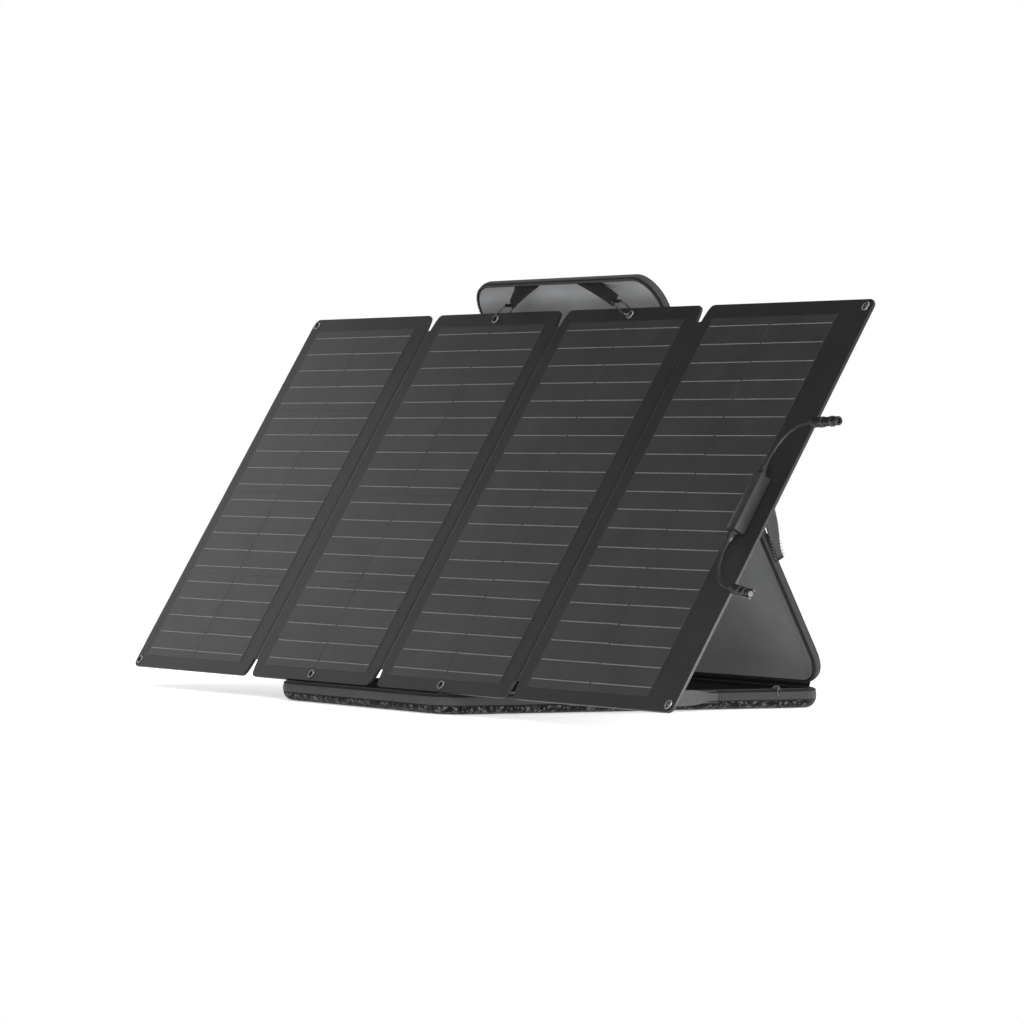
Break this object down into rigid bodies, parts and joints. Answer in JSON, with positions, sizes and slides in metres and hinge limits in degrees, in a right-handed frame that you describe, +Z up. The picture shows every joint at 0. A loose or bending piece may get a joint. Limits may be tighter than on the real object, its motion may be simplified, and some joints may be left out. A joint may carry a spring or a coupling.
{
  "type": "folding solar panel with carry case stand",
  "caption": "Dark folding solar panel leaning on its own opened zip-round carry case, with metal eyelets, clip tabs, carry handles, a junction box and short plug-ended leads.",
  "frame": {"origin": "centre of the underside of the case base, on the ground", "axes": "+X along the panel width to the right seen from its front, +Y back towards the case hinge, +Z up"},
  "size_m": [1.6497, 0.722, 0.6747],
  "materials": {
    "textured_fabric": "rough woven, near black",
    "case_wall": "smooth laminated fabric, mid grey",
    "case_lining": "smooth moulded lining, light grey",
    "zip_tape": "ribbed tape, near black",
    "webbing": "flat woven",
    "panel_board": "satin laminate",
    "solar_cell": "satin film over dark cells with thin silver lines",
    "fold_strip": "satin laminate",
    "eyelet_metal": "bright",
    "dark_metal": "dark plated, glossy",
    "box_plastic": "fine satin",
    "connector_plastic": "satin",
    "cable_jacket": "satin"
  },
  "bodies": {
    "case_base": {"base_tray": "textured_fabric", "base_rim": "case_wall", "base_lining": "case_lining", "base_zip_tape": "zip_tape", "base_handle_patch_rear": "webbing", "base_handle_patch_front": "webbing", "case_spine": "zip_tape"},
    "case_lid": {"lid_back": "textured_fabric", "lid_wall": "case_wall", "lid_lining": "case_lining", "lid_zip_tape": "zip_tape", "lid_handle_patch_rear": "webbing", "lid_handle_patch_front": "webbing", "tab_left": "webbing", "tab_right": "webbing", "clip_left": "dark_metal", "clip_right": "dark_metal"},
    "panel_middle": {"segment_2": "panel_board", "segment_3": "panel_board", "cells_2": "solar_cell", "cells_3": "solar_cell", "fold_1": "fold_strip", "fold_2": "fold_strip", "fold_3": "fold_strip", "eyelet_2_lower": "eyelet_metal", "eyelet_2_upper": "eyelet_metal", "eyelet_3_lower": "eyelet_metal", "eyelet_3_upper": "eyelet_metal"},
    "panel_left": {"segment_1": "panel_board", "cells_1": "solar_cell", "eyelet_1_lower": "eyelet_metal", "eyelet_1_upper": "eyelet_metal"},
    "panel_right": {"segment_4": "panel_board", "cells_4": "solar_cell", "box_foot": "box_plastic", "box_cover": "box_plastic", "gland_upper": "box_plastic", "gland_lower": "box_plastic", "lead_upper": "cable_jacket", "lead_lower": "cable_jacket", "connector_upper_nut": "connector_plastic", "connector_upper_body": "connector_plastic", "connector_lower_nut": "connector_plastic", "connector_lower_body": "connector_plastic", "eyelet_4_lower": "eyelet_metal", "eyelet_4_upper": "eyelet_metal"},
    "gate_left": {"clip_gate_left": "dark_metal"},
    "gate_right": {"clip_gate_right": "dark_metal"},
    "base_carry_handle": {"base_handle": "case_wall"},
    "lid_carry_handle": {"lid_handle": "case_wall"},
    "slider": {"zip_slider": "dark_metal"},
    "slider_pull": {"zip_pull": "dark_metal"}
  },
  "joints": [
    {"name": "lid_hinge", "type": "hinge", "parent": "case_base", "child": "case_lid", "pos_m": [0, 0.356, 0.033], "axis": [-1, 0, 0], "range_deg": [0, 8]},
    {"name": "panel_tilt", "type": "hinge", "parent": "case_lid", "child": "panel_middle", "pos_m": [0, -0.00036, 0.61063], "axis": [1, 0, 0], "range_deg": [0, 16]},
    {"name": "fold_left", "type": "hinge", "parent": "panel_middle", "child": "panel_left", "pos_m": [-0.358, -0.17311, 0.32849], "axis": [0, 0.5105, 0.8599], "range_deg": [0, 172]},
    {"name": "fold_right", "type": "hinge", "parent": "panel_middle", "child": "panel_right", "pos_m": [0.41, -0.17311, 0.32849], "axis": [0, -0.5105, -0.8599], "range_deg": [0, 166]},
    {"name": "gate_left_hinge", "type": "hinge", "parent": "case_lid", "child": "gate_left", "pos_m": [-0.15867, -0.01166, 0.61521], "axis": [-0.4808, -0.0423, 0.8758], "range_deg": [0, 20]},
    {"name": "gate_right_hinge", "type": "hinge", "parent": "case_lid", "child": "gate_right", "pos_m": [0.20567, -0.01166, 0.61521], "axis": [-0.4808, 0.0423, -0.8758], "range_deg": [0, 20]},
    {"name": "zip_slide", "type": "slide", "parent": "case_base", "child": "slider", "axis": [0, -1, 0], "range_m": [0, 0.5]},
    {"name": "pull_hinge", "type": "hinge", "parent": "slider", "child": "slider_pull", "pos_m": [0.26, 0.259, 0.0328], "axis": [0, -1, 0], "range_deg": [0, 120]},
    {"name": "base_handle_hinge", "type": "hinge", "parent": "case_base", "child": "base_carry_handle", "pos_m": [0.2615, 0, 0.0335], "axis": [0, -1, 0], "range_deg": [0, 60]},
    {"name": "lid_handle_hinge", "type": "hinge", "parent": "case_lid", "child": "lid_carry_handle", "pos_m": [0.2615, 0.17835, 0.35328], "axis": [0, 0.4787, -0.878], "range_deg": [0, 30]}
  ],
  "couplings": [
    {"joint": "panel_tilt", "follows": "lid_hinge", "ratio": 2}
  ]
}
